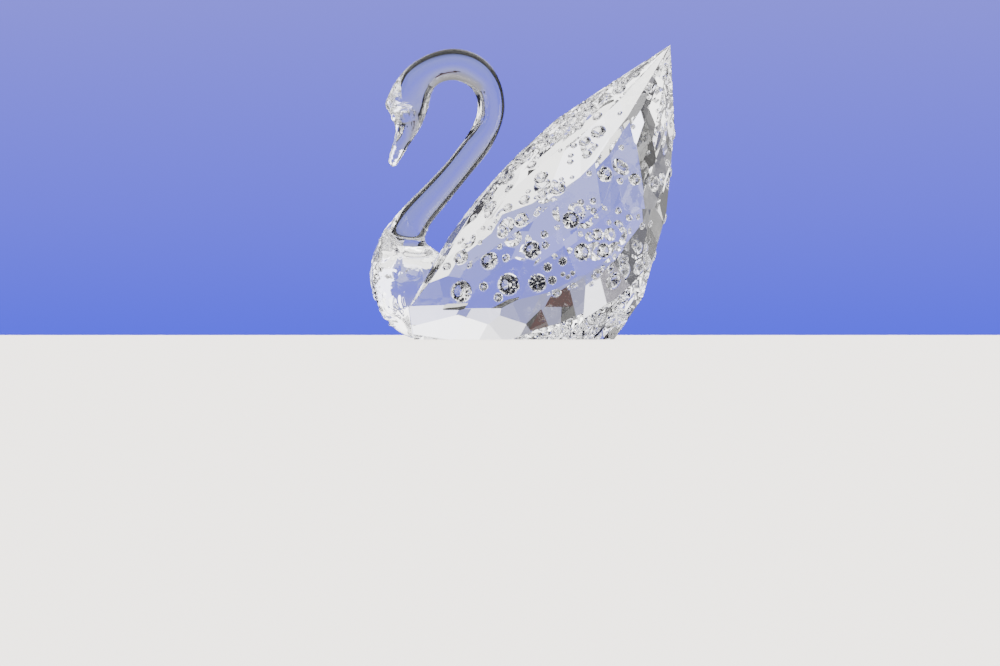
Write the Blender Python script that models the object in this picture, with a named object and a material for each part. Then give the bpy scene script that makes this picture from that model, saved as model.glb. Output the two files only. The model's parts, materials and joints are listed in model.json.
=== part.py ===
"""A swan figurine in clear crystal.

The body is one block, cut like a gem: a rough block is ground flat along rows of facets that run from the
breast to the tail tip. The head, neck and breast are one piece of hot-formed glass, glued to the body's flat
front. Round-cut stones sit in conical seats drilled into the body's facets.

Metres, +Z up. The swan looks towards -X, its tail points to +X, and Y is its left and right.
The origin is under the middle of its box, on the surface it stands on.
"""

import math

import bmesh
import bpy
from mathutils import Matrix, Vector
from mathutils.bvhtree import BVHTree

MM = 0.001
MIRROR = Vector((1, -1, 1))
BODY_MIDDLE = Vector((10 * MM, 0, 50 * MM))

# The body's long cutting lines on its +Y side, from the breast to the tail tip, in mm.
TAIL_TIP = (77.9, 0, 155.0)
RIDGE = ((-43.8, 0, 46.5), (-25, 0, 72.8), (-2.8, 0, 96.4), (21, 0, 117.8), (49.5, 0, 136.2), TAIL_TIP)
BEVEL = ((-44.3, 2.5, 45.8), (-24, 5.2, 71.2), (-1.4, 5.6, 94.6), (22.2, 5.2, 116.2), (50.4, 3.4, 135),
         TAIL_TIP)
ROOF = ((-45.4, 12, 43.9), (-21.3, 18.8, 65.4), (2, 24, 82.6), (25.2, 22.2, 100.6), (53, 13, 128.3),
        TAIL_TIP)
WING = ((-47, 21.5, 40.5), (-17, 32, 57), (7, 39.5, 66.5), (29.5, 37, 82), (56.5, 21, 119.5), TAIL_TIP)
FLANK = ((-50.5, 26.5, 33), (-21, 37.5, 35), (9, 43, 41.5), (33.5, 41, 60.5), (58, 24.5, 99.5), TAIL_TIP)
SIDE = ((-59.6, 25.5, 16), (-22, 38.5, 16), (13, 41.5, 25.5), (44, 39, 42), (66.5, 23.5, 86), TAIL_TIP)
CHINE = ((-59, 23, 9), (-22, 34.5, 8.5), (16, 36, 17.5), (47, 32, 36), (72.5, 17, 80), TAIL_TIP)
STERN = ((-57, 8, -12), (-15, 10, -18), (27, 11, -16), (60, 10, 15), (78.8, 6.5, 86), TAIL_TIP)
ROWS = (  # upper line, lower line, how many facets the row has
    (RIDGE, BEVEL, 5),
    (BEVEL, ROOF, 5),
    (ROOF, WING, 4),
    (WING, FLANK, 6),
    (FLANK, SIDE, 6),
    (SIDE, CHINE, 8),
    (CHINE, STERN, 12),
)
STERN_FACETS = 8
BULGE = 0.8 * MM  # how far a facet halfway along its row stands out past the chord between its lines

JOINT_TOP = Vector((-44.2, 0, 44.3)) * MM  # the flat front that the breast is glued to
JOINT_BOTTOM = Vector((-59.6, 0, 16.4)) * MM
FOOT_FRONT = Vector((-57.0, 0, 0)) * MM
GAP = 0.3 * MM  # the glue line between two pieces
SMALLEST = 0.02 * MM  # points closer than this are one point

# The glass of beak, head, neck and breast, from the beak tip down, in mm. The outer line runs over the head
# and down the back of the neck, and its Y is half the width there. The inner line runs under the beak and
# round the hollow of the hook to the front of the breast.
NECK_OUTER = (
    (-68.9, 0.9, 91.3), (-70.0, 2.0, 92.5), (-70.4, 2.5, 94.6), (-69.9, 2.8, 98), (-68.5, 3.2, 103),
    (-67.0, 4.0, 108.5), (-67.2, 5.3, 113), (-69.4, 6.6, 118), (-72.0, 7.8, 123.2), (-70.7, 8.4, 128.8),
    (-66.7, 8.6, 136.4), (-61.6, 8.6, 142.8), (-54.6, 8.5, 148.1), (-45.4, 8.5, 152.1), (-35.6, 8.4, 153.6),
    (-26, 8.2, 151.5), (-18.2, 8, 146.3), (-12.9, 7.7, 139), (-9.8, 7.4, 129.8), (-9.3, 7.2, 120),
    (-12.1, 7.1, 109.8), (-17.1, 7, 99.9), (-24.6, 7, 90.3), (-33.3, 7.3, 79.6), (-41.6, 7.9, 69.3),
    (-48, 8.5, 61.2), (-50.9, 9.5, 55.1), (-50.6, 11.5, 50.3), (-43.5, 16.6, 45.5), (-41, 22.6, 38),
    (-41, 25.3, 29), (-42, 24.6, 20), (-45, 21.5, 12.5), (-49.5, 16, 6), (-54, 8.5, 2), (-57, 2, 0.9),
)
NECK_INNER = (
    (-67.6, 0, 91.2), (-66.3, 0, 92.1), (-65.0, 0, 94), (-63.0, 0, 97), (-60.0, 0, 101.8),
    (-56.6, 0, 107), (-53.6, 0, 111.8), (-51.4, 0, 116.6), (-49.4, 0, 122), (-48.4, 0, 127.4),
    (-46.9, 0, 131.4), (-45, 0, 133.9), (-42, 0, 135.6), (-38.8, 0, 136.4), (-35.2, 0, 136.5),
    (-31.2, 0, 135.2), (-27.4, 0, 132.7), (-24.8, 0, 128.9), (-23.6, 0, 124.6), (-23.9, 0, 119.2),
    (-26.2, 0, 112.9), (-30.1, 0, 106.6), (-36.6, 0, 97.6), (-44.2, 0, 88.6), (-53, 0, 79.7),
    (-61.2, 0, 71.6), (-69.6, 0, 62), (-75.4, 0, 53), (-78.9, 0, 44.5), (-80.65, 0, 35), (-79.9, 0, 27),
    (-77.2, 0, 19.7), (-72.8, 0, 11.8), (-67.4, 0, 5.6), (-62, 0, 2.2), (-58.6, 0, 0.9),
)
NECK_RINGS = 71
NECK_SIDES = 24
PINCH = Vector((-65, 0, 113.5)) * MM  # where the tongs pressed the soft glass between head and beak
PINCH_REACH = 5 * MM
PINCH_DEPTH = 0.4  # of the width there

# Where the larger stones of one side sit, seen from the side (X, Z), by diameter, all in mm.
SIDE_STONES = {
    11: ((-28.7, 27.7), (-7.5, 28.7)),
    9: ((-18.2, 41.6), (-0.8, 46.4), (22.9, 60.9), (31.1, 45.8), (4.5, 30)),
    7.6: (
        (46.6, 45.3), (-32.4, 42.9), (0.3, 59.6), (9.7, 84.8), (42.4, 87.2), (-7.6, 84.6), (17.7, 75.6),
        (44, 111.5), (12.4, 104.3), (69, 81.9),
    ),
    6: (
        (35, 37.5), (39.3, 53), (53, 41), (-10.3, 56.1), (1.3, 70.4), (-18.7, 74), (34, 122.5),
        (34.5, 107.2), (59, 84), (52.4, 131),
    ),
}
RIGHT_LOWEST = 36  # the right side has no larger stone below this height, in mm
STERN_STONES = {6: ((0, 44), (0, 66), (0, 88), (0, 112))}  # the same for the stern, seen from behind (Y, Z)
TABLE = 0.56  # a stone's parts, as shares of its radius
CROWN = 0.24
GIRDLE = 0.06
PAVILION = 0.86
STONE_FOLD = 8
STONE_LIFT = 0.1 * MM  # how far the underside of a girdle stands out of the facet
SEAT_CLEARANCE = 0.5 * MM  # how much wider a seat is than its stone
SEAT_SIDES = 16
SEAT_OVERCUT = 0.4 * MM  # how far a seat's cutter stands out of the facet
SEAT_RIM = 0.4 * MM  # the least facet left round a seat
NUDGE = 0.4 * MM  # the steps in which a stone is moved to find room on one facet
NUDGES = 24


def along(points, t):
    """The point at t, from 0 to 1, on a smooth curve through evenly spaced points."""
    spans = len(points) - 1
    i = min(int(t * spans), spans - 1)
    u = t * spans - i
    b, c = Vector(points[i]), Vector(points[i + 1])
    a = Vector(points[i - 1]) if i > 0 else 2 * b - c
    d = Vector(points[i + 2]) if i + 2 <= spans else 2 * c - b
    return b + u / 2 * ((c - a) + u * ((2 * a - 5 * b + 4 * c - d) + u * (3 * (b - c) + d - a)))


def facet(corners):
    """The middle and the outward normal of the facet that fits four corners best."""
    a, b, c, d = corners
    centre = (a + b + c + d) / 4
    normal = (b - c).cross(a - d).normalized()
    if normal.dot(centre - BODY_MIDDLE) < 0:
        normal.negate()
    return centre, normal


def facet_planes():
    """Every facet's middle and outward normal, row by row, each with its mirror image on the -Y side.

    A facet that would grind the ridge down is moved outwards until it only touches it."""
    crest = [along(line, t / 20) * MM for line in (RIDGE, BEVEL) for t in range(0, 21, 4)]
    for upper, lower, count in ROWS:
        for j in range(count):
            ends = j / count, (j + 1) / count
            centre, normal = facet([along(line, t) * MM for line in (upper, lower) for t in ends])
            centre += normal * BULGE * math.sin(math.pi * (j + 0.5) / count)
            centre += normal * max(0, max((p - centre).dot(normal) for p in crest))
            yield centre, normal
            yield centre * MIRROR, normal * MIRROR
    for j in range(STERN_FACETS):
        left = [along(STERN, t) * MM for t in (j / STERN_FACETS, (j + 1) / STERN_FACETS)]
        yield facet(left + [p * MIRROR for p in left])


def cut_flat(bm, point, normal):
    """Grinds away everything beyond a plane and closes the cut with one flat face."""
    geometry = bm.verts[:] + bm.edges[:] + bm.faces[:]
    bmesh.ops.bisect_plane(
        bm, geom=geometry, dist=SMALLEST, plane_co=point, plane_no=normal, clear_outer=True,
    )
    bmesh.ops.remove_doubles(bm, verts=bm.verts[:], dist=SMALLEST)
    rim = [e for e in bm.edges if e.is_boundary]
    if rim:
        bmesh.ops.holes_fill(bm, edges=rim, sides=0)


def front_planes():
    """The two planes that the breast fits against, above and below the corner JOINT_BOTTOM."""
    for top, bottom in ((JOINT_TOP, JOINT_BOTTOM), (JOINT_BOTTOM, FOOT_FRONT)):
        down = bottom - top
        yield bottom, Vector((down.z, 0, -down.x)).normalized()


def cut_body():
    bm = bmesh.new()
    bmesh.ops.create_cube(bm, size=0.4)
    for point, normal in [*facet_planes(), *front_planes(), (Vector(), Vector((0, 0, -1)))]:
        cut_flat(bm, point, normal)
    return bm


def cut_breast_room():
    """The room that the body takes in the breast, one glue line bigger than the body."""
    bm = bmesh.new()
    bmesh.ops.create_cube(bm, size=0.12)
    for point, normal in front_planes():
        cut_flat(bm, point + normal * GAP, normal)
    return bm


def loft_neck():
    """Rings across the glass, each an oval between the outer and the inner line, closed at both ends."""
    bm = bmesh.new()
    rings = []
    for i in range(NECK_RINGS):
        t = i / (NECK_RINGS - 1)
        outer, inner = along(NECK_OUTER, t) * MM, along(NECK_INNER, t) * MM
        half_width = Vector((0, outer.y, 0))
        outer.y = 0
        middle, reach = (outer + inner) / 2, (outer - inner) / 2
        ring = []
        for j in range(NECK_SIDES):
            turn = math.tau * j / NECK_SIDES
            point = middle + reach * math.cos(turn) + half_width * math.sin(turn)
            from_pinch = Vector((point.x - PINCH.x, 0, point.z - PINCH.z)).length / PINCH_REACH
            point.y *= 1 - PINCH_DEPTH * math.exp(-from_pinch ** 2)
            ring.append(bm.verts.new(point))
        rings.append(ring)
    for upper, lower in zip(rings, rings[1:]):
        for j in range(NECK_SIDES):
            bm.faces.new((upper[j - 1], upper[j], lower[j], lower[j - 1]))
    bm.faces.new(rings[0])
    bm.faces.new(reversed(rings[-1]))
    bmesh.ops.recalc_face_normals(bm, faces=bm.faces[:])
    return bm


def cut_stone(radius):
    """A round-cut stone, the hull of its table, girdle and point; its girdle's underside is at z = 0."""
    bm = bmesh.new()
    for share, height in ((TABLE, GIRDLE + CROWN), (1, GIRDLE), (1, 0)):
        for j in range(STONE_FOLD):
            turn = math.tau * j / STONE_FOLD
            spot = (radius * share * math.cos(turn), radius * share * math.sin(turn), radius * height)
            bm.verts.new(spot)
    bm.verts.new((0, 0, -radius * PAVILION))
    bmesh.ops.convex_hull(bm, input=bm.verts[:])
    return bm


def seat_radius(radius):
    """The radius of a seat's corners where it meets the facet; its flats are nearer."""
    return (radius + SEAT_CLEARANCE) / math.cos(math.pi / SEAT_SIDES)


def nudges():
    """Small moves in a plane, nearest first, on a sunflower's spiral."""
    golden = math.pi * (3 - math.sqrt(5))
    for k in range(NUDGES ** 2):
        yield NUDGE * math.sqrt(k) * math.cos(k * golden), NUDGE * math.sqrt(k) * math.sin(k * golden)


def facing(spot, normal):
    """The placement that stands a stone or a seat on a facet."""
    return Matrix.Translation(spot) @ normal.to_track_quat("Z", "X").to_matrix().to_4x4()


def place_stone(tree, start, towards, step_axes, radius, placed):
    """The nearest place to the wished one where the seat lies on one facet, clear of the earlier stones."""
    rim = seat_radius(radius) + SEAT_RIM
    for across, up in nudges():
        spot, normal, _, _ = tree.ray_cast(start + step_axes[0] * across + step_axes[1] * up, towards)
        if spot is None:
            continue
        if any((spot - other).length < rim + other_rim for other, other_rim in placed):
            continue
        placement = facing(spot, normal)
        turns = [math.tau * j / SEAT_SIDES for j in range(SEAT_SIDES)]
        ring = [placement @ Vector((rim * math.cos(turn), rim * math.sin(turn), 0)) for turn in turns]
        if all(tree.find_nearest(point)[3] < SMALLEST for point in ring):
            placed.append((spot, rim))
            return placement
    raise ValueError("a stone finds no facet with room for it")


def place_stones(body):
    """A name, a radius and a placement for every stone."""
    tree = BVHTree.FromBMesh(body)
    placed = []
    across_x, across_y, up = Vector((1, 0, 0)), Vector((0, 1, 0)), Vector((0, 0, 1))
    for side, sign in (("left", -1), ("right", 1)):
        number = 0
        for diameter, places in SIDE_STONES.items():
            for x, z in places:
                if side == "right" and z < RIGHT_LOWEST:
                    continue
                number += 1
                start = Vector((x, sign * 100, z)) * MM
                radius = diameter / 2 * MM
                placement = place_stone(tree, start, -sign * across_y, (across_x, up), radius, placed)
                yield f"stone_{side}_{number:02}", radius, placement
    for diameter, places in STERN_STONES.items():
        for number, (y, z) in enumerate(places, 1):
            start = Vector((120, y, z)) * MM
            radius = diameter / 2 * MM
            placement = place_stone(tree, start, -across_x, (across_y, up), radius, placed)
            yield f"stone_stern_{number}", radius, placement


def add_seat(bm, radius, placement):
    """A conical cutter, its point in the body and its open end just outside the facet."""
    mouth = seat_radius(radius)
    depth = mouth * PAVILION
    height = depth + SEAT_OVERCUT
    bmesh.ops.create_cone(
        bm, cap_ends=True, segments=SEAT_SIDES, radius1=0, radius2=mouth * height / depth, depth=height,
        matrix=placement @ Matrix.Translation((0, 0, SEAT_OVERCUT - height / 2)),
    )


def clear_material(name, colour, roughness, ior):
    material = bpy.data.materials.new(name)
    material.use_nodes = True
    shader = material.node_tree.nodes["Principled BSDF"]
    shader.inputs["Base Color"].default_value = (*colour, 1)
    shader.inputs["Roughness"].default_value = roughness
    shader.inputs["IOR"].default_value = ior
    shader.inputs["Transmission Weight"].default_value = 1
    return material


def add_object(name, mesh, collection, material=None):
    piece = bpy.data.objects.new(name, mesh)
    collection.objects.link(piece)
    if material:
        mesh.materials.append(material)
    return piece


def to_mesh(bm, name):
    mesh = bpy.data.meshes.new(name)
    bm.to_mesh(mesh)
    bm.free()
    return mesh


def cut_with(piece, cutter):
    cutter.hide_render = True
    cutter.display_type = "WIRE"
    boolean = piece.modifiers.new(cutter.name, "BOOLEAN")
    boolean.operation = "DIFFERENCE"
    boolean.object = cutter


def add_collection(name):
    collection = bpy.data.collections.new(name)
    bpy.context.scene.collection.children.link(collection)
    return collection


def main():
    for old in list(bpy.data.objects):
        bpy.data.objects.remove(old)
    swan, cutters = add_collection("crystal_swan"), add_collection("cutters")

    body_bm = cut_body()
    stones = list(place_stones(body_bm))
    cut_crystal = clear_material("cut_crystal", (1, 1, 1), 0, 1.54)
    hot_glass = clear_material("hot_glass", (1, 1, 1), 0.01, 1.5)
    body = add_object("body", to_mesh(body_bm, "body"), swan, cut_crystal)
    neck = add_object("neck", to_mesh(loft_neck(), "neck"), swan, hot_glass)
    neck.data.shade_smooth()
    neck.data.set_sharp_from_angle(angle=math.radians(40))
    cut_with(neck, add_object("breast_room", to_mesh(cut_breast_room(), "breast_room"), cutters))

    stone_crystal = clear_material("stone_crystal", (1, 1, 1), 0, 1.54)
    seats = bmesh.new()
    meshes = {}
    for name, radius, placement in stones:
        if radius not in meshes:
            meshes[radius] = to_mesh(cut_stone(radius), f"stone_{len(meshes) + 1}")
            meshes[radius].materials.append(stone_crystal)
        stone = add_object(name, meshes[radius], swan)
        stone.matrix_world = placement @ Matrix.Translation((0, 0, STONE_LIFT))
        add_seat(seats, radius, placement)
    cut_with(body, add_object("seats", to_mesh(seats, "seats"), cutters))


main()
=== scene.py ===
"""The looks of a swan figurine in clear crystal, laid out as a Blender add-on.

The body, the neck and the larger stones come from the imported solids. This file gives them their fine surfaces,
sets the small stones, and builds the stage. Metres, +Z up; the swan looks towards -X.
"""

import json
import math
import random

import bpy
from bpy.props import FloatProperty, FloatVectorProperty, IntProperty, PointerProperty
from mathutils import Matrix, Vector
from mathutils.bvhtree import BVHTree

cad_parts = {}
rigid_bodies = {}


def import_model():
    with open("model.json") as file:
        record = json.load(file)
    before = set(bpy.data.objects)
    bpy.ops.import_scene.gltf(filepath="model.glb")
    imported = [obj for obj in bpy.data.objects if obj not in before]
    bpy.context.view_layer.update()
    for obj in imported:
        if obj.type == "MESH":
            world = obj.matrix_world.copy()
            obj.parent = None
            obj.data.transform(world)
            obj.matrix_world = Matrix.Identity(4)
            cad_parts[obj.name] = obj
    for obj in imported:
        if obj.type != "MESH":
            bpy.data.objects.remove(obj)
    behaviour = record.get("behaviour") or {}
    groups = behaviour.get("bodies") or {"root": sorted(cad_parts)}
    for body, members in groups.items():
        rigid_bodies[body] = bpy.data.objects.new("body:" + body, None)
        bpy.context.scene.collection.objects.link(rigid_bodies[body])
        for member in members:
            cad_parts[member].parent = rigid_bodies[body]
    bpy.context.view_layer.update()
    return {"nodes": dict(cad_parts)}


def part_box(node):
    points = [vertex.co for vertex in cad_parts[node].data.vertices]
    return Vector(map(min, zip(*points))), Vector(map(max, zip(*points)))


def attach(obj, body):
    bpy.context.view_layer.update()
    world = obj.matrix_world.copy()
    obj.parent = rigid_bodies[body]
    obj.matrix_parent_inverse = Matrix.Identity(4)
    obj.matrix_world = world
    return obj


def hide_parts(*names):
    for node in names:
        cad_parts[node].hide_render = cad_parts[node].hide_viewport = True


bl_info = {
    "name": "Crystal swan",
    "version": (1, 0, 0),
    "blender": (4, 5, 0),
    "location": "View3D > Sidebar > Swan",
    "description": "Finishes a crystal swan: cut body, hot-formed neck, set stones and a studio stage",
    "category": "Object",
}

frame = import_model()
MM = 0.001
WELD = 1e-6  # points of a mesh that are closer than this are one point


# Settings ------------------------------------------------------------------------------------------------

class GlassSettings(bpy.types.PropertyGroup):
    """How the clear glass bends light and what colour it has."""

    ior: FloatProperty(
        name="Refractive index", description="Of lead crystal", default=1.545, min=1.3, max=1.8,
    )
    stone_ior: FloatProperty(
        name="Stone index", description="Of the stones' glass", default=1.64, min=1.3, max=1.8,
    )
    tint: FloatVectorProperty(
        name="Tint", description="Colour of the glass", subtype="COLOR", default=(0.985, 0.985, 0.99),
        min=0, max=1,
    )


class StoneSettings(bpy.types.PropertyGroup):
    """The round cut of the stones, as shares of a stone's radius, and how the small stones are set."""

    table: FloatProperty(name="Table", description="Radius of the flat top", default=0.56)
    crown: FloatProperty(name="Crown", description="Height above the girdle", default=0.24)
    girdle: FloatProperty(name="Girdle", description="Height of the rim", default=0.05)
    pavilion: FloatProperty(name="Pavilion", description="Depth below the girdle", default=0.84)
    clearance: FloatProperty(
        name="Clearance", description="Room round a small stone", default=0.25 * MM, subtype="DISTANCE",
    )
    apart: FloatProperty(
        name="Apart", description="Least glass between two stones", default=0.3 * MM, subtype="DISTANCE",
    )
    right: IntProperty(name="Small stones, right", description="On the right side", default=26, min=0)
    seed: IntProperty(name="Seed", description="Of the right side's small stones", default=5)


class StageSettings(bpy.types.PropertyGroup):
    """Floor, backdrop, lights and camera."""

    floor: FloatVectorProperty(
        name="Floor", description="Colour of the floor", subtype="COLOR", default=(0.82, 0.79, 0.75),
        min=0, max=1,
    )
    haze: FloatVectorProperty(
        name="Backdrop", description="Backdrop near the floor", subtype="COLOR", default=(0.09, 0.09, 1.45),
    )
    high: FloatVectorProperty(
        name="High backdrop", description="Backdrop above", subtype="COLOR", default=(0.27, 0.25, 1.3),
    )
    distance: FloatProperty(
        name="Camera distance", description="To the swan", default=5.1, subtype="DISTANCE",
    )
    width: FloatProperty(
        name="View width", description="What the view spans at the swan", default=0.527, subtype="DISTANCE",
    )


# Helpers -------------------------------------------------------------------------------------------------

def deselect_all():
    if bpy.context.object and bpy.context.object.mode != "OBJECT":
        bpy.ops.object.mode_set(mode="OBJECT")
    bpy.ops.object.select_all(action="DESELECT")


def activate(piece):
    deselect_all()
    piece.select_set(True)
    bpy.context.view_layer.objects.active = piece


def merged_copy(node, name):
    """A copy of a CAD node's mesh with its loose triangles welded."""
    piece = bpy.data.objects.new(name, frame["nodes"][node].data.copy())
    bpy.context.scene.collection.objects.link(piece)
    piece.data.materials.clear()
    activate(piece)
    bpy.ops.object.mode_set(mode="EDIT")
    bpy.ops.mesh.select_all(action="SELECT")
    bpy.ops.mesh.remove_doubles(threshold=WELD)
    bpy.ops.object.mode_set(mode="OBJECT")
    return piece


def finish_piece(piece, material, slot, *nodes):
    piece.data.materials.clear()
    piece.data.materials.append(material)
    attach(piece, "root")
    if nodes:
        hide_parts(*nodes)


def smooth_surface(piece, levels):
    activate(piece)
    smooth = piece.modifiers.new("smooth", "SUBSURF")
    smooth.levels = smooth.render_levels = levels
    bpy.ops.object.modifier_apply(modifier=smooth.name)


SLAB_REACH = 0.04  # how far a slab goes to either side of the swan's middle


def slab(outline, gap=0):
    """A solid right across the swan with an outline seen from the side, (X, Z) in mm.

    The gap moves it forward and down, so that two pieces cut by one outline don't touch.
    """
    curve = bpy.data.curves.new("slab", "CURVE")
    curve.dimensions = "2D"
    curve.fill_mode = "BOTH"
    curve.extrude = SLAB_REACH
    spline = curve.splines.new("POLY")
    spline.points.add(len(outline) - 1)
    for point, (x, z) in zip(spline.points, outline):
        point.co = (x * MM - gap, z * MM - gap, 0, 1)
    spline.use_cyclic_u = True
    piece = bpy.data.objects.new("slab", curve)
    bpy.context.scene.collection.objects.link(piece)
    piece.rotation_euler.x = math.radians(90)
    activate(piece)
    bpy.ops.object.convert(target="MESH")
    piece = bpy.context.object
    bpy.ops.object.transform_apply(location=False, rotation=True, scale=False)
    bpy.ops.object.mode_set(mode="EDIT")
    bpy.ops.mesh.select_all(action="SELECT")
    bpy.ops.mesh.remove_doubles(threshold=WELD)
    bpy.ops.mesh.normals_make_consistent(inside=False)
    bpy.ops.object.mode_set(mode="OBJECT")
    return piece


def cut(piece, cutter, operation):
    activate(piece)
    boolean = piece.modifiers.new("cut", "BOOLEAN")
    boolean.operation = operation
    boolean.object = cutter
    boolean.solver = "MANIFOLD"
    bpy.ops.object.modifier_apply(modifier=boolean.name)
    bpy.data.objects.remove(cutter)


WAVE_SCALE = 90
WAVE_STRENGTH = 0.2


def clear_glass(name, ior, roughness, waviness):
    """Clear glass by plain values, with the faint waviness that moulding and polishing leave."""
    glass = bpy.context.scene.swan_glass
    material = bpy.data.materials.new(name)
    material.use_nodes = True
    nodes, links = material.node_tree.nodes, material.node_tree.links
    shader = nodes["Principled BSDF"]
    shader.inputs["Base Color"].default_value = (*glass.tint, 1)
    shader.inputs["Roughness"].default_value = roughness
    shader.inputs["IOR"].default_value = ior
    shader.inputs["Transmission Weight"].default_value = 1
    place = nodes.new("ShaderNodeTexCoord")
    waves = nodes.new("ShaderNodeTexNoise")
    waves.inputs["Scale"].default_value = WAVE_SCALE
    waves.inputs["Detail"].default_value = 1
    bump = nodes.new("ShaderNodeBump")
    bump.inputs["Strength"].default_value = WAVE_STRENGTH
    bump.inputs["Distance"].default_value = waviness
    links.new(place.outputs["Object"], waves.inputs["Vector"])
    links.new(waves.outputs["Fac"], bump.inputs["Height"])
    links.new(bump.outputs["Normal"], shader.inputs["Normal"])
    return material


# Stones --------------------------------------------------------------------------------------------------

def stone_frame(node):
    """A CAD stone's placement, its girdle's underside at z = 0 and its table up, and its radius."""
    points = {tuple(round(c, 8) for c in v.co) for v in frame["nodes"][node].data.vertices}
    points = [Vector(p) for p in sorted(points)]
    middle = sum(points, Vector()) / len(points)
    # The point of the pavilion is alone at its end of the stone's axis: the farthest pair of a girdle and it.
    best = None
    for tip in points:
        axis = (middle - tip).normalized()
        heights = sorted((p - tip).dot(axis) for p in points)
        gap = heights[1]
        if best is None or gap > best[0]:
            best = gap, tip, axis
    _, tip, axis = best
    rest = [p for p in points if p != tip]
    foot = min((p - tip).dot(axis) for p in rest)
    radius = max(((p - tip) - axis * (p - tip).dot(axis)).length for p in rest)
    spoke = max(rest, key=lambda p: ((p - tip) - axis * (p - tip).dot(axis)).length) - tip
    across = (spoke - axis * spoke.dot(axis)).normalized()
    turn = Matrix((across, axis.cross(across), axis)).transposed().to_4x4()
    return Matrix.Translation(tip + axis * foot) @ turn, radius


STONE_EDGE = 0.985  # where the facets next to the girdle start, as a share of the radius


def model_stone():
    """One round-cut stone of radius 1: a drum, ground along its crown and its pavilion."""
    cut = bpy.context.scene.swan_stones
    deselect_all()
    depth = cut.crown + cut.girdle + cut.pavilion
    bpy.ops.mesh.primitive_cylinder_add(
        vertices=16, radius=1, depth=depth, location=(0, 0, cut.crown + cut.girdle - depth / 2),
    )
    stone = bpy.context.object
    bpy.ops.object.transform_apply(location=True, rotation=False, scale=False)
    bpy.ops.object.mode_set(mode="EDIT")
    crown, pavilion = cut.crown / (1 - cut.table), cut.pavilion
    rows = (  # a point of the facet (radius, height), its slope, how many, and how far round they are turned
        ((STONE_EDGE, cut.girdle), crown * 1.18, 16, 0.5),
        ((cut.table, cut.girdle + cut.crown), crown * 0.9, 8, 0),
        ((cut.table, cut.girdle + cut.crown), crown * 0.6, 8, 0.5),
        ((STONE_EDGE, 0), -pavilion * 1.07, 16, 0.5),
        ((0, -pavilion), -pavilion * 0.99, 8, 0),
    )
    for (out, up), slope, count, between in rows:
        for j in range(count):
            turn = math.tau * (j + between) / count
            across, along = math.cos(turn), math.sin(turn)
            normal = Vector((across * abs(slope), along * abs(slope), math.copysign(1, slope)))
            bpy.ops.mesh.select_all(action="SELECT")
            bpy.ops.mesh.bisect(
                plane_co=(out * across, out * along, up), plane_no=normal.normalized(),
                use_fill=True, clear_outer=True, threshold=1e-5,
            )
    bpy.ops.mesh.select_all(action="SELECT")
    bpy.ops.mesh.remove_doubles(threshold=1e-4)
    bpy.ops.mesh.normals_make_consistent(inside=False)
    bpy.ops.object.mode_set(mode="OBJECT")
    return stone


def copy_stone(model, name, placement, radius):
    piece = bpy.data.objects.new(name, model.data.copy())
    piece.data.transform(placement @ Matrix.Diagonal((radius, radius, radius, 1)))
    bpy.context.scene.collection.objects.link(piece)
    return piece


# The left side's small stones: a radius in mm and the places (X, Z) in mm.
SMALL_STONES = (
    (2.6, (
        (29.5, 112), (39.3, 116.5), (33.7, 97), (4.2, 91.7), (-6.1, 78), (11.3, 73.5), (-7.9, 69),
        (-17.9, 64.8),
    )),
    (2.2, (
        (-32.4, 51.6), (-25.6, 64), (59, 49.8), (-41.4, 42.4), (-39.8, 38.2), (20.8, 40.8), (12.9, 37.7),
        (12.9, 30.3), (17.7, 25), (-11.9, 22.4), (-22.4, 28.7), (53.5, 134.7), (59.8, 139.4),
    )),
    (1.9, ((0.5, 95.7), (11.3, 55.1), (11.9, 49.3), (-8.7, 41.9))),
    (1.6, (
        (26.9, 101.7), (37.9, 101.2), (25, 93), (51.1, 83.3), (30.6, 71.9), (36.9, 72.7), (38.2, 65.6),
        (50.1, 67.5), (56.7, 63), (62.7, 59.6), (66.1, 60.6), (64.6, 44.5), (7.9, 64.8), (26.1, 28.2),
    )),
    (1.35, (
        (25.3, 96.4), (2.4, 76.9), (-17.1, 58.2), (34.5, 87.2), (51.9, 100.9), (60.6, 64.3), (-28.2, 38.7),
        (-11.9, 48.7), (76.7, 146), (77.2, 137), (77.2, 126), (77.7, 113), (78.3, 102.5), (76.2, 93),
    )),
    (1.1, (
        (23.5, 113.8), (22.4, 106.5), (19.2, 99.6), (51.1, 118.8), (20.3, 83.5), (25.8, 84.8), (-14.2, 61.7),
        (-22.4, 50.9), (-37.2, 49.3), (58, 111.7), (26.1, 34.5), (-21.3, 58.8), (46.1, 61.9), (51.4, 57.7),
        (20.8, 34), (23.5, 34),
    )),
)


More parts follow.
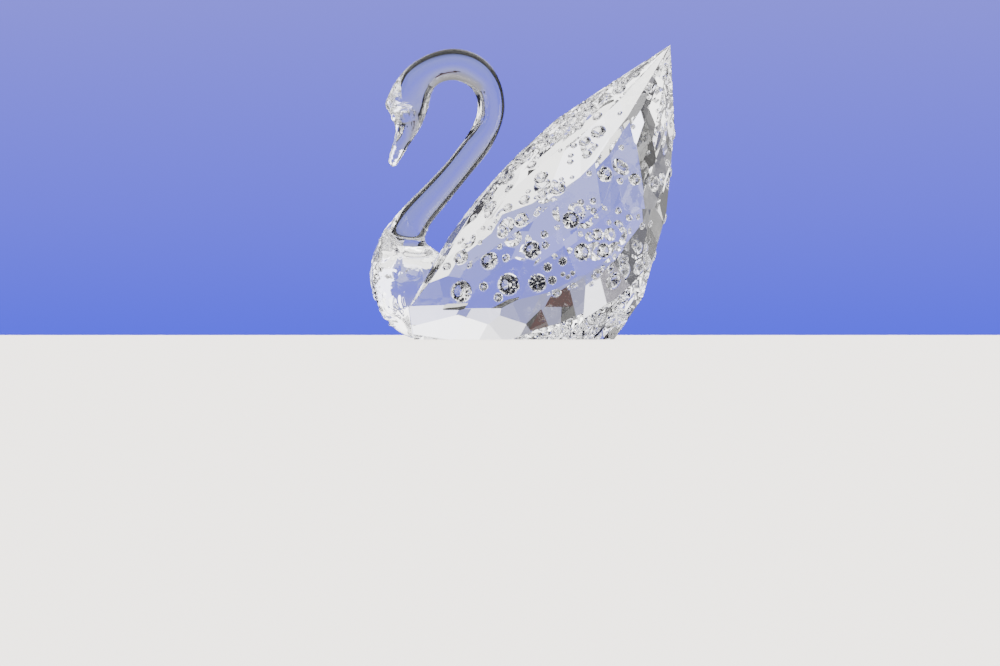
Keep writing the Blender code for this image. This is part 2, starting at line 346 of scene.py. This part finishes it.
class Setting:
    """Finds room for small stones on the body's facets, clear of the stones already set."""

    SIDES = {"left": -1, "right": 1}
    LEAST_SIDEWAYS = 0.15  # a facet that faces less to the side than this takes no stone
    RIM_POINTS = 12
    FLATNESS = 2e-5  # how far a point of the rim may be from the facet
    SIZES = (1, 0.8)  # as shares of the radius asked for
    STEPS, STEP = 12, 0.35 * MM  # the rings of places that are tried

    def __init__(self, body):
        mesh = body.data
        self.tree = BVHTree.FromPolygons([v.co for v in mesh.vertices], [p.vertices for p in mesh.polygons])
        self.taken = [(place.translation, radius) for place, radius in (stone_frame(n) for n in stone_nodes())]
        self.apart = bpy.context.scene.swan_stones.apart
        self.places = {side: [] for side in self.SIDES}

    def try_at(self, side, x, z, radius):
        """Sets a stone where a level line from the side meets the body, if its whole rim lies on one facet."""
        sign = self.SIDES[side]
        spot, normal, _, _ = self.tree.ray_cast(Vector((x, sign * 0.2, z)), Vector((0, -sign, 0)))
        if spot is None or abs(normal.y) < self.LEAST_SIDEWAYS:
            return False
        rim = radius + 2 * bpy.context.scene.swan_stones.clearance
        if any((spot - other).length < rim + size + self.apart for other, size in self.taken):
            return False
        placement = Matrix.Translation(spot) @ normal.to_track_quat("Z", "X").to_matrix().to_4x4()
        for j in range(self.RIM_POINTS):
            turn = math.tau * j / self.RIM_POINTS
            point = placement @ Vector((rim * math.cos(turn), rim * math.sin(turn), 0))
            if self.tree.find_nearest(point)[3] > self.FLATNESS:
                return False
        self.taken.append((spot, radius))
        self.places[side].append((placement, radius))
        return True

    def set_near(self, side, x, z, radius):
        """Sets a stone at the nearest free place to (x, z), a little smaller where there is no room."""
        for size in (share * radius for share in self.SIZES):
            for step in range(self.STEPS):
                tries = max(1, 4 * step)
                for j in range(tries):
                    turn = math.tau * j / tries
                    away = self.STEP * step
                    if self.try_at(side, x + away * math.cos(turn), z + away * math.sin(turn), size):
                        return


RIGHT_LOW, RIGHT_TOP = 14 * MM, 70 * MM  # between these heights, from the foot, the right side's stones lie
RIGHT_RADII = (1.2, 1.7, 2.2)  # in mm


def small_stone_places(body):
    """The left side's small stones by table, and fewer, scattered ones on the right side."""
    cut = bpy.context.scene.swan_stones
    setting = Setting(body)
    for radius, spots in SMALL_STONES:
        for x, z in spots:
            setting.set_near("left", x * MM, z * MM, radius * MM)
    draw = random.Random(cut.seed)
    low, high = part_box("body")
    for _ in range(cut.right):
        x, z = draw.uniform(low.x, high.x), draw.uniform(low.z + RIGHT_LOW, RIGHT_TOP)
        setting.set_near("right", x, z, draw.choice(RIGHT_RADII) * MM)
    return setting.places


def stone_nodes():
    return sorted(name for name in frame["nodes"] if name.startswith("stone"))


# Operators -----------------------------------------------------------------------------------------------

class SWAN_OT_neck(bpy.types.Operator):
    """Refines beak, head, neck and breast from their solid"""

    bl_idname = "swan.neck"
    bl_label = "Neck"

    # Outlines seen from the side, (X, Z) in mm: the worked front of the head with the beak, and the breast.
    FACE = (
        (-78, 139), (-64.8, 139), (-64, 135), (-63.8, 130), (-63.2, 125.2), (-58.6, 124.4), (-57.9, 121.8),
        (-64.2, 121.2), (-64.9, 116), (-66.2, 108), (-66.8, 102), (-64, 100.4), (-60, 99.4), (-58, 88),
        (-78, 88),
    )
    BREAST = (
        (-95, 76), (-59.8, 74.5), (-64.2, 66), (-69.2, 56.4), (-66.6, 53.6), (-62.8, 49.2), (-58, 48.6),
        (-52.2, 48.9), (-46, 49.4), (-20, 49.4), (-20, -5), (-95, -5),
    )
    CUT = 0.03 * MM  # between two pieces of the glass
    CREASE = math.radians(32)  # a surface that turns by more than this keeps its edge
    FOOT = Vector((-57, 0, 1)) * MM  # where the folds of the breast start
    JOINT = Vector((-44.2, 0, 44.3)) * MM  # the top of the flat joint with the body
    JOINT_NORMAL = Vector((27.9, 0, -15.4)).normalized()
    # The pads on the breast: middle (X, Z) and half its size, both in mm, and how far it stands out.
    PADS = (((-69.6, 43.5), (6.2, 11.5), 1), ((-56, 46.2), (9.5, 2.4), 0.6), ((-57, 35), (4.2, 2.6), 0.5))
    # Clear pocket above the joint, crumbled strip on the front: middle (X, Z) and half the size, in metres.
    POCKET = ((-0.0555, 0.035), (0.009, 0.013))
    STRIP = ((-0.0765, 0.025), (0.0035, 0.011))
    # Knob, beak tip, throat mark, bridge and beak swelling: middle (X, Y, Z) in mm and half the size in mm.
    OVALS = (
        ((-69.8, 0, 124), (2.6, 2.8, 3.3)), ((-68.4, 0, 94.4), (2.2, 2.4, 2.8)),
        ((-50.6, 0, 121.8), (1.5, 2.4, 1.7)), ((-68, 0, 117.6), (1.3, 2, 2.6)),
        ((-67.2, 0, 101), (0.9, 1.6, 2)),
    )
    RIDGE, RIDGE_SIZE = (-62.9, 122.9), (4.6, 1.3, 1.2)  # the cross ridge on either side
    SWIRLS = ((-66.6, 126.2, 1.9), (-68.2, 123, 1.2))  # (X, Z) and radius, in mm
    DISH, DISH_RADIUS = (-61.6, 118), 7.4  # (X, Z) of the middle, radius of the ball that presses it, in mm
    DISH_OUT = 6.2  # how far outside the tube the ball's middle is, in mm

    def execute(self, context):
        tube = merged_copy("neck", "neck_glass")
        self.press_face(tube)
        breast = self.refined(tube, "breast_glass", 3)
        face = self.refined(tube, "face_glass", 2)
        smooth_surface(tube, 2)
        self.press_dishes(tube)
        for outline in (self.FACE, self.BREAST):
            cut(tube, slab(outline), "DIFFERENCE")
        self.swell(breast, 1.7 * MM, self.lobes)
        self.swell(breast, 1.1 * MM, self.folds)
        self.swell(breast, 1.5 * MM, self.soft_waves, grain=6 * MM)
        self.swell(breast, 1.0 * MM, self.speckled_edge, grain=1.6 * MM)
        cut(breast, slab(self.BREAST, gap=self.CUT), "INTERSECT")
        face = self.add_beads(face)
        cut(face, slab(self.FACE, gap=self.CUT), "INTERSECT")
        glass = context.scene.swan_glass
        smooth = clear_glass("hot_glass", glass.ior, 0.0, 0.05 * MM)
        worked = clear_glass("worked_glass", glass.ior, 0.06, 0.2 * MM)
        for piece, material in ((tube, smooth), (breast, worked), (face, worked)):
            activate(piece)
            bpy.ops.object.shade_smooth_by_angle(angle=self.CREASE)
            finish_piece(piece, material, "hot_glass", *(["neck"] if piece == tube else []))
        return {"FINISHED"}

    def press_face(self, piece):
        """Presses the front of the head to a thin flange, as the tongs do."""
        activate(piece)
        mesh = piece.data
        bpy.ops.object.mode_set(mode="EDIT")
        bpy.ops.mesh.select_all(action="DESELECT")
        bpy.ops.object.mode_set(mode="OBJECT")
        for vertex in mesh.vertices:
            vertex.select = 0.107 < vertex.co.z < 0.137 and vertex.normal.x < -0.62
        bpy.ops.object.mode_set(mode="EDIT")
        bpy.ops.transform.resize(
            value=(1, 0.34, 1), center_override=(0, 0, 0), use_proportional_edit=True,
            proportional_edit_falloff="SMOOTH", proportional_size=5.5 * MM, use_proportional_connected=True,
        )
        bpy.ops.mesh.select_all(action="SELECT")
        bpy.ops.mesh.tris_convert_to_quads(face_threshold=math.radians(40), shape_threshold=math.radians(60))
        bpy.ops.mesh.select_all(action="DESELECT")
        bpy.ops.mesh.select_mode(type="EDGE")
        bpy.ops.mesh.edges_select_sharp(sharpness=math.radians(50))
        bpy.ops.transform.edge_crease(value=1)
        bpy.ops.mesh.select_mode(type="VERT")
        bpy.ops.object.mode_set(mode="OBJECT")

    def refined(self, model, name, levels):
        piece = bpy.data.objects.new(name, model.data.copy())
        bpy.context.scene.collection.objects.link(piece)
        smooth_surface(piece, levels)
        return piece

    def room(self, place):
        """1 on the breast, 0 where it meets the body, its foot and its top."""
        joint = (self.JOINT - place).dot(self.JOINT_NORMAL) - 1.5 * MM
        return max(0, min(1, joint / (4 * MM), (0.076 - place.z) / 0.02, (place.z - 0.002) / 0.006))

    def lobes(self, place):
        """The pads that the tongs left: a tall one in front, a flat one under the tube, a small one below."""
        total = 0
        for (x, z), (wide, high), share in self.PADS:
            out = math.hypot((place.x - x * MM) / (wide * MM), (place.z - z * MM) / (high * MM))
            total += share * math.exp(-out ** 6)
        return min(1, total) * self.room(place)

    def folds(self, place):
        """Folds that spread from the foot over the low front."""
        x, z = place.x - self.FOOT.x, place.z - self.FOOT.z
        reach = math.hypot(x, z)
        fade = max(0, min(1, (reach - 4 * MM) / (5 * MM), (27 * MM - reach) / (8 * MM)))
        turn = math.atan2(z, -x)
        return fade * self.room(place) * (0.5 + 0.5 * math.sin(30 * turn + 2 * math.sin(400 * reach)))

    def soft_waves(self, place):
        """Waves everywhere but in the clear pocket above the joint."""
        (x, z), (wide, high) = self.POCKET
        pocket = math.hypot((place.x - x) / wide, (place.z - z) / high)
        return self.room(place) * (1 - 0.85 * math.exp(-pocket ** 4))

    def speckled_edge(self, place):
        """A crumbled strip low on the very front."""
        (x, z), (wide, high) = self.STRIP
        across = (place.x - x) / wide
        along = (place.z - z) / high
        return self.room(place) * math.exp(-across ** 2 - along ** 4)

    def swell(self, piece, height, strength, grain=None):
        """Raises the surface by height times strength(place), in soft grains if a size is given for them."""
        weights = piece.vertex_groups.new(name="swell")
        for vertex in piece.data.vertices:
            weights.add([vertex.index], strength(vertex.co), "REPLACE")
        raised = piece.modifiers.new("swell", "DISPLACE")
        raised.vertex_group = weights.name
        raised.strength = height
        raised.mid_level = 0
        if grain:
            texture = bpy.data.textures.new("grain", "CLOUDS")
            texture.noise_scale = grain
            texture.noise_depth = 1
            raised.texture = texture
            raised.texture_coords = "LOCAL"
            raised.mid_level = 0.5
        activate(piece)
        bpy.ops.object.modifier_apply(modifier=raised.name)
        piece.vertex_groups.clear()

    def add_beads(self, face):
        """Knob, cross ridge, swirls, tip and throat mark, blended into the pressed front."""
        half_width = self.widths(face)
        beads = [face]
        ovals = list(self.OVALS)
        x, z = self.RIDGE
        for side in (-1, 1):
            ovals.append(((x, side * (half_width(x, z) - 0.1), z), self.RIDGE_SIZE))
        for middle, scale in ovals:
            deselect_all()
            bpy.ops.mesh.primitive_uv_sphere_add(
                segments=32, ring_count=16, radius=MM, location=Vector(middle) * MM, scale=scale,
            )
            beads.append(bpy.context.object)
        for side in (-1, 1):
            for x, z, size in self.SWIRLS:
                deselect_all()
                bpy.ops.mesh.primitive_torus_add(
                    major_radius=size * MM, minor_radius=0.55 * MM,
                    location=Vector((x, side * half_width(x, z), z)) * MM,
                    rotation=(math.radians(90), 0, side * 0.35), major_segments=32, minor_segments=12,
                )
                beads.append(bpy.context.object)
        deselect_all()
        for bead in beads:
            bead.select_set(True)
        bpy.context.view_layer.objects.active = face
        bpy.ops.object.join()
        face = bpy.context.object
        blend = face.modifiers.new("blend", "REMESH")
        blend.mode = "VOXEL"
        blend.voxel_size = 0.28 * MM
        bpy.ops.object.modifier_apply(modifier=blend.name)
        soften = face.modifiers.new("soften", "SMOOTH")
        soften.iterations = 3
        activate(face)
        bpy.ops.object.modifier_apply(modifier=soften.name)
        self.swell(face, 0.3 * MM, self.front_only, grain=2.4 * MM)
        return face

    def front_only(self, place):
        """1 on the front of the head, 0 from the cross ridge on."""
        return min(1, max(0, (-0.0628 - place.x) / 0.002))

    def widths(self, piece):
        """A function that gives the piece's half width in mm at (x, z) in mm."""
        mesh = piece.data
        tree = BVHTree.FromPolygons([v.co for v in mesh.vertices], [p.vertices for p in mesh.polygons])
        return lambda x, z: -tree.ray_cast(Vector((x * MM, -0.1, z * MM)), Vector((0, 1, 0)))[0].y / MM

    def press_dishes(self, tube):
        """The tongs' two round dishes, behind the knob and under the cross ridge."""
        half_width = self.widths(tube)
        x, z = self.DISH
        for side in (-1, 1):
            deselect_all()
            out = half_width(x, z) + self.DISH_OUT
            bpy.ops.mesh.primitive_uv_sphere_add(
                segments=48, ring_count=24, radius=self.DISH_RADIUS * MM,
                location=Vector((x, side * out, z)) * MM, scale=(0.85, 1, 1),
            )
            cut(tube, bpy.context.object, "DIFFERENCE")


class SWAN_OT_body(bpy.types.Operator):
    """Cuts the small stones' seats into a copy of the body and sets the small stones"""

    bl_idname = "swan.body"
    bl_label = "Body and small stones"

    MOUTH = 1.6  # how much wider than its stone a seat is, in clearances
    SEAT_TOP = 0.2 * MM  # how far a seat's cutter stands out of the facet
    LIFT = 0.06 * MM  # how far the underside of a small stone's girdle stands out of the facet

    def execute(self, context):
        cut = context.scene.swan_stones
        body = merged_copy("body", "body_crystal")
        model = model_stone()
        seats, stones = [], []
        for side, places in small_stone_places(body).items():
            for k, (placement, radius) in enumerate(places, 1):
                mouth = radius + cut.clearance * self.MOUTH
                depth = mouth * cut.pavilion
                top = self.SEAT_TOP
                deselect_all()
                bpy.ops.mesh.primitive_cone_add(
                    vertices=16, radius1=0, radius2=mouth * (depth + top) / depth, depth=depth + top,
                )
                cone = context.object
                cone.data.transform(placement @ Matrix.Translation((0, 0, top - (depth + top) / 2)))
                seats.append(cone)
                lift = Matrix.Translation((0, 0, self.LIFT))
                stones.append((side, copy_stone(model, f"small_stone_{side}_{k:02}", placement @ lift, radius)))
        self.cut_seats(body, seats)
        glass = context.scene.swan_glass
        finish_piece(body, clear_glass("cut_crystal", glass.ior, 0.0, 0.01 * MM), "cut_crystal", "body")
        stone_glass = clear_glass("stone_crystal", glass.stone_ior, 0.0, 0.002 * MM)
        for side in ("left", "right"):
            group = [stone for where, stone in stones if where == side]
            deselect_all()
            for stone in group:
                stone.select_set(True)
            context.view_layer.objects.active = group[0]
            bpy.ops.object.join()
            joined = context.object
            joined.name = f"small_stones_{side}"
            finish_piece(joined, stone_glass, "stone_crystal")
        for node in stone_nodes():
            placement, radius = stone_frame(node)
            piece = copy_stone(model, f"{node}_cut", placement, radius)
            finish_piece(piece, stone_glass, "stone_crystal", node)
        bpy.data.objects.remove(model)
        return {"FINISHED"}

    def cut_seats(self, body, seats):
        deselect_all()
        for seat in seats:
            seat.select_set(True)
        bpy.context.view_layer.objects.active = seats[0]
        bpy.ops.object.join()
        cut(body, bpy.context.object, "DIFFERENCE")


class SWAN_OT_stage(bpy.types.Operator):
    """Builds floor, backdrop, lights and camera"""

    bl_idname = "swan.stage"
    bl_label = "Stage"

    # What single low facets look at, far off round the swan: a name, from and to azimuth, from and to
    # elevation, both in degrees, and a colour or a radiance. Azimuth 0 is behind the swan, 90 is its tail.
    GREY, DARK, BROWN = (0.22, 0.22, 0.27), (0.02, 0.02, 0.02), (0.03, 0.008, 0.007)
    CARDS = (
        ("card_low", (-14, 0.5), (22.5, 26), BROWN), ("card_middle", (-2, 2), (19.8, 22.4), DARK),
        ("card_slit", (-8.5, -6.5), (19.8, 22.5), DARK), ("card_bar", (-27, -24), (19.8, 22.5), DARK),
        ("card_front", (16.5, 23), (13.4, 16.5), DARK), ("card_rear", (-33.5, -31), (16.5, 19.5), GREY),
    )
    PATCHES = (
        ("facets_high", (6, 40), (16.6, 29), 2.4), ("facets_low", (20, 36), (5, 13.4), 2.2),
        ("facets_front", (8, 16), (13, 16.6), 1.6), ("facets_middle", (1.5, 6), (22.8, 28), 1.6),
        ("facets_rear", (-23.5, -20.5), (19.8, 22.5), 2.5), ("facets_tail", (-34.5, -30.5), (-17, -13.5), 4),
        ("veil_middle", (-10, 14), (-13, -1), 0.3), ("veil_rear", (-49, -40), (8, 16), 0.22),
        ("veil_tail", (-48, -40), (-18, -12), 0.35),
    )
    PATCH_MIDDLE = Vector((0, 0.03, 0.02))  # from where the angles are measured
    PATCH_DISTANCE = 4
    BOUNCES = 24  # light goes round many times in cut crystal before it comes out
    FRAME_WIDTH = 1000  # how many steps wide a finished frame is
    SENSOR = 36  # in mm
    AIM = (-22.5, 6.5)  # X and Z of the middle of the view, in steps of the frame

    def execute(self, context):
        stage = context.scene.swan_stage
        self.add_floor(stage)
        self.add_backdrop(stage)
        self.add_flags()
        self.add_lamps()
        self.add_world(stage)
        self.add_camera(stage)
        self.follow_light(context.scene.cycles)
        return {"FINISHED"}

    def follow_light(self, paths):
        paths.max_bounces = paths.glossy_bounces = paths.transmission_bounces = self.BOUNCES

    def plain_material(self, name, colour):
        material = bpy.data.materials.new(name)
        material.use_nodes = True
        shader = material.node_tree.nodes["Principled BSDF"]
        shader.inputs["Base Color"].default_value = (*colour, 1)
        shader.inputs["Roughness"].default_value = 0.7
        shader.inputs["Specular IOR Level"].default_value = 0
        return material

    def add_plane(self, name, middle, size, turn, material):
        deselect_all()
        bpy.ops.mesh.primitive_plane_add(size=1, location=middle, rotation=[math.radians(a) for a in turn])
        plane = bpy.context.object
        plane.name = name
        plane.scale = (*size, 1)
        plane.data.materials.append(material)
        return plane

    def add_floor(self, stage):
        """The floor; the glass picks up the lamps round it instead of it."""
        pale = self.plain_material("floor", stage.floor)
        floor = self.add_plane("floor", (0, 0, -0.3 * MM), (200, 200), (0, 0, 0), pale)
        floor.visible_glossy = floor.visible_transmission = False

    def add_backdrop(self, stage):
        """A plain backdrop, a little lighter towards its top."""
        material = self.plain_material("backdrop", (0, 0, 0))
        nodes, links = material.node_tree.nodes, material.node_tree.links
        place = nodes.new("ShaderNodeTexCoord")
        split = nodes.new("ShaderNodeSeparateXYZ")
        height = nodes.new("ShaderNodeMapRange")
        height.inputs["From Min"].default_value = 0
        height.inputs["From Max"].default_value = 0.1
        mix = nodes.new("ShaderNodeMix")
        mix.data_type = "RGBA"
        mix.inputs["A"].default_value = (*stage.haze, 1)
        mix.inputs["B"].default_value = (*stage.high, 1)
        links.new(place.outputs["Object"], split.inputs[0])
        links.new(split.outputs["Y"], height.inputs["Value"])
        links.new(height.outputs["Result"], mix.inputs["Factor"])
        links.new(mix.outputs["Result"], nodes["Principled BSDF"].inputs["Emission Color"])
        nodes["Principled BSDF"].inputs["Emission Strength"].default_value = 1
        backdrop = self.add_plane("backdrop", (0, 12, 0), (9, 6), (90, 0, 0), material)
        backdrop.visible_glossy = backdrop.visible_transmission = backdrop.visible_diffuse = False

    def add_flags(self):
        """Cards that only the glass picks up.

        A dark frame behind the swan gives the dark lines down the edges of the glass, a dark disc before it the
        dark facets in the stones, and small far cards the dark and brown low facets.
        """
        deselect_all()
        bpy.ops.mesh.primitive_circle_add(
            vertices=96, radius=4, fill_type="NGON", location=(0, 1, 0.12), rotation=(math.radians(90), 0, 0),
        )
        flag = bpy.context.object
        flag.name = "flag"
        bpy.ops.object.mode_set(mode="EDIT")
        bpy.ops.mesh.select_all(action="SELECT")
        bpy.ops.mesh.inset(thickness=3.25)
        bpy.ops.mesh.delete(type="FACE")
        bpy.ops.mesh.select_all(action="DESELECT")
        bpy.ops.object.mode_set(mode="OBJECT")
        for face in flag.data.polygons:
            x, height, _ = face.center
            face.select = height > abs(x)  # the flag is open at its top
        bpy.ops.object.mode_set(mode="EDIT")
        bpy.ops.mesh.delete(type="FACE")
        bpy.ops.object.mode_set(mode="OBJECT")
        flag.scale.y = 0.8
        flag.data.materials.append(self.plain_material("flag", (0.01, 0.01, 0.015)))
        deselect_all()
        bpy.ops.mesh.primitive_circle_add(
            vertices=48, radius=0.85, fill_type="NGON", location=(0, -3, 0), rotation=(math.radians(90), 0, 0),
        )
        room = bpy.context.object
        room.name = "dark_room"
        room.data.materials.append(flag.data.materials[0])
        cards = [flag, room]
        for name, azimuths, elevations, colour in self.CARDS:
            place, towards, size = self.patch(azimuths, elevations)
            deselect_all()
            turn = towards.to_track_quat("Z", "Y").to_euler()
            bpy.ops.mesh.primitive_plane_add(size=1, location=place, rotation=turn)
            card = bpy.context.object
            card.name = name
            card.scale = (*size, 1)
            card.data.materials.append(self.plain_material(name, colour))
            cards.append(card)
        for card in cards:
            card.visible_camera = card.visible_diffuse = card.visible_shadow = False

    def patch(self, azimuths, elevations):
        """Place, direction back to the swan and size of a far rectangle that fills these angles."""
        azimuth, elevation = (math.radians(sum(pair) / 2) for pair in (azimuths, elevations))
        wide, high = (math.radians(pair[1] - pair[0]) for pair in (azimuths, elevations))
        level = math.cos(elevation)
        away = Vector((math.sin(azimuth) * level, math.cos(azimuth) * level, math.sin(elevation)))
        reach = 2 * self.PATCH_DISTANCE
        size = reach * math.tan(wide / 2) * level, reach * math.tan(high / 2)
        return self.PATCH_MIDDLE + away * self.PATCH_DISTANCE, -away, size

    def add_lamps(self):
        """The sky over the floor, and the lamps that only some pieces of the glass pick up."""
        self.add_lamp(
            "sky", "SUN", (0, 0, 3), (0, 0, -1), 13, (1, 0.98, 0.95), ["floor"], angle=math.radians(50),
        )
        worked = ["breast_glass", "face_glass"]
        crystal = [
            piece.name for piece in bpy.context.scene.objects
            if "stone" in piece.name or piece.name in ("body_crystal", *worked)
        ]
        body = ["body_crystal"]
        blocks = body + worked
        stones = [name for name in crystal if "stone" in name]
        up, swan = Vector((0, 0, 1)), Vector((0, 0, 0.06))
        boxes = (  # name, place, what it faces if not the swan, width and height, radiance, what it lights
            ("under_back", (0, 0.32, -0.35), up, (1.6, 0.54), 4, crystal),
            ("under_far", (0, 0.75, -0.35), up, (1.6, 0.3), 3.2, crystal),
            ("under_front", (0, -0.32, -0.35), up, (1.6, 0.54), 0.3, crystal),
            ("top", (-0.25, -0.75, 1.25), None, (1.1, 0.8), 2.6, crystal),
            ("top_front", (0.1, -1.4, 0.85), None, (1.2, 0.25), 2.6, crystal),
            ("low_front", (-0.1, -1.4, -0.55), None, (0.9, 0.18), 2.6, stones),
            ("glint_left", (-0.9, -1.3, -0.1), None, (0.35, 1.1), 2.6, stones),
            ("glint_right", (0.8, -1.35, 0.1), None, (0.3, 1.0), 2.6, stones),
            ("right", (1.4, -0.2, 0.45), None, (0.5, 0.9), 2.4, crystal),
            ("left", (-1.3, -0.5, 0.4), None, (0.5, 0.9), 2.4, blocks),
            ("front_left", (-0.8, -1.35, 0.2), None, (0.3, 0.5), 2.6, blocks),
            ("front_right", (0.85, -1.3, 0.35), None, (0.25, 0.5), 2.6, crystal),
            ("low_right", (0.5, 1.1, 0.5), None, (0.5, 0.3), 1.6, crystal),
            ("veil_left", (-0.75, 1.2, -0.1), None, (0.8, 0.9), 0.12, crystal),
            ("veil_low", (0.15, 1.3, -0.4), None, (1.0, 0.35), 0.35, crystal),
            ("veil", (0, 1.5, 0.05), None, (2.4, 1.6), 0.08, crystal),
            ("room_left", (-1.6, -0.7, 0.2), None, (0.5, 1.8), 2.4, body),
            ("room_right", (1.6, -0.7, 0.2), None, (0.5, 1.8), 2.4, body),
            ("room_top", (0, -1.3, 1.35), None, (2.2, 0.9), 2.4, body),
            ("room_low", (0, -1.3, -1.1), None, (2.2, 0.7), 1.6, body),
            ("room_high", (0, 0, 1.8), None, (2.6, 2.2), 2.4, body),
            ("side_left", (-1.7, 0.45, 0), None, (1.2, 2.2), 2.4, body),
            ("side_right", (1.7, 0.25, 0), None, (1, 2.2), 2.4, body),
            ("neck_front", (0, -2.7, 0.3), None, (9, 6), 1, ["neck_glass"]),
            ("worked_left", (-1.4, 1, 0), None, (1.5, 2.4), 4, worked),
            ("worked_right", (1.1, 1, 0), None, (2, 2.4), 4, worked),
            ("worked_top", (-0.3, 1, 1), None, (0.9, 1.5), 5, worked),
            ("worked_low", (-0.3, 1, -1.15), None, (0.9, 1.1), 4, worked),
        )
        boxes += tuple(
            (name, *self.patch(azimuths, elevations), radiance, body)
            for name, azimuths, elevations, radiance in self.PATCHES
        )
        for name, place, faces, size, radiance, lit in boxes:
            aim = faces or swan - Vector(place)
            energy = radiance * math.pi * size[0] * size[1]
            self.add_lamp(
                name, "AREA", place, aim, energy, (1, 0.99, 0.97), lit,
                shape="RECTANGLE", size=size[0], size_y=size[1],
            )

    def add_lamp(self, name, kind, place, aim, energy, colour, lit, **settings):
        bpy.ops.object.light_add(type=kind, location=place)
        lamp = bpy.context.object
        lamp.name = name
        lamp.data.energy = energy
        lamp.data.color = colour
        for key, value in settings.items():
            setattr(lamp.data, key, value)
        lamp.rotation_euler = Vector(aim).to_track_quat("-Z", "Y").to_euler()
        lamp.visible_camera = False
        receivers = bpy.data.collections.new(f"lit_by_{name}")
        for piece in lit:
            receivers.objects.link(bpy.data.objects[piece])
        lamp.light_linking.receiver_collection = receivers

    def add_world(self, stage):
        """Violet behind the swan; before it a dark room with a dim line at its height and a light ceiling."""
        world = bpy.data.worlds.new("studio")
        world.use_nodes = True
        nodes, links = world.node_tree.nodes, world.node_tree.links
        place = nodes.new("ShaderNodeTexCoord")
        split = nodes.new("ShaderNodeSeparateXYZ")
        links.new(place.outputs["Generated"], split.inputs[0])
        back = self.ramp(nodes, links, split.outputs["Z"], (  # sine of the height, colour
            (-1, (0.01, 0.01, 0.02)), (-0.56, (0.015, 0.016, 0.04)), (-0.5, (0.06, 0.07, 0.2)),
            (-0.44, (0.17, 0.2, 0.6)), (-0.35, (0.24, 0.27, 0.95)), (-0.12, (0.22, 0.24, 1.15)),
            (0, (0.2, 0.21, 1.25)), (0.12, (0.28, 0.29, 1.15)),
            (0.24, (0.38, 0.4, 1)), (0.4, (0.42, 0.42, 0.6)), (0.6, (0.48, 0.46, 0.48)), (1, (0.3, 0.3, 0.3)),
        ))
        front = self.ramp(nodes, links, split.outputs["Z"], (
            (-1, (0.02, 0.02, 0.03)), (-0.04, (0.02, 0.02, 0.03)), (0, (0.15, 0.15, 0.18)),
            (0.04, (0.02, 0.02, 0.03)), (0.55, (0.02, 0.02, 0.03)), (0.6, (0.3, 0.3, 0.32)),
            (1, (0.3, 0.3, 0.32)),
        ))
        turn = nodes.new("ShaderNodeMapRange")
        turn.interpolation_type = "SMOOTHSTEP"
        turn.inputs["From Min"].default_value = -0.1
        turn.inputs["From Max"].default_value = 0.45
        links.new(split.outputs["Y"], turn.inputs["Value"])
        mix = nodes.new("ShaderNodeMix")
        mix.data_type = "RGBA"
        links.new(turn.outputs["Result"], mix.inputs["Factor"])
        links.new(front, mix.inputs["A"])
        links.new(back, mix.inputs["B"])
        links.new(mix.outputs["Result"], nodes["Background"].inputs["Color"])
        bpy.context.scene.world = world

    def ramp(self, nodes, links, value, bands):
        height = nodes.new("ShaderNodeMapRange")
        height.inputs["From Min"].default_value = -1
        height.inputs["From Max"].default_value = 1
        ramp = nodes.new("ShaderNodeValToRGB")
        links.new(value, height.inputs["Value"])
        links.new(height.outputs["Result"], ramp.inputs["Fac"])
        stops = ramp.color_ramp.elements
        for k, (sine, colour) in enumerate(bands):
            stop = stops[k] if k < 2 else stops.new((sine + 1) / 2)
            stop.position = (sine + 1) / 2
            stop.color = (*colour, 1)
        return ramp.outputs["Color"]

    def add_camera(self, stage):
        step = stage.width / self.FRAME_WIDTH
        aim = Vector((self.AIM[0] * step, 0, self.AIM[1] * step))
        bpy.ops.object.camera_add(location=aim - Vector((0, stage.distance, 0)))
        camera = bpy.context.object
        camera.rotation_euler = (math.radians(90), 0, 0)
        camera.data.sensor_width = self.SENSOR
        camera.data.lens = self.SENSOR * stage.distance / stage.width
        camera.data.clip_end = 100
        bpy.context.scene.camera = camera


class SWAN_PT_panel(bpy.types.Panel):
    """The swan's pieces and settings"""

    bl_label = "Crystal swan"
    bl_idname = "SWAN_PT_panel"
    bl_space_type = "VIEW_3D"
    bl_region_type = "UI"
    bl_category = "Swan"

    def draw(self, context):
        for operator in PIECES:
            self.layout.operator(operator.bl_idname)
        for group in ("swan_glass", "swan_stones", "swan_stage"):
            settings = getattr(context.scene, group)
            for name in settings.__annotations__:
                self.layout.prop(settings, name)


PIECES = (SWAN_OT_neck, SWAN_OT_body, SWAN_OT_stage)
SETTINGS = {"swan_glass": GlassSettings, "swan_stones": StoneSettings, "swan_stage": StageSettings}


def register():
    for name, group in SETTINGS.items():
        bpy.utils.register_class(group)
        setattr(bpy.types.Scene, name, PointerProperty(type=group))
    for operator in PIECES:
        bpy.utils.register_class(operator)
    bpy.utils.register_class(SWAN_PT_panel)


def unregister():
    bpy.utils.unregister_class(SWAN_PT_panel)
    for operator in reversed(PIECES):
        bpy.utils.unregister_class(operator)
    for name, group in reversed(SETTINGS.items()):
        delattr(bpy.types.Scene, name)
        bpy.utils.unregister_class(group)


def main():
    register()
    bpy.ops.swan.neck()
    bpy.ops.swan.body()
    bpy.ops.swan.stage()


if __name__ == "__main__":
    main()
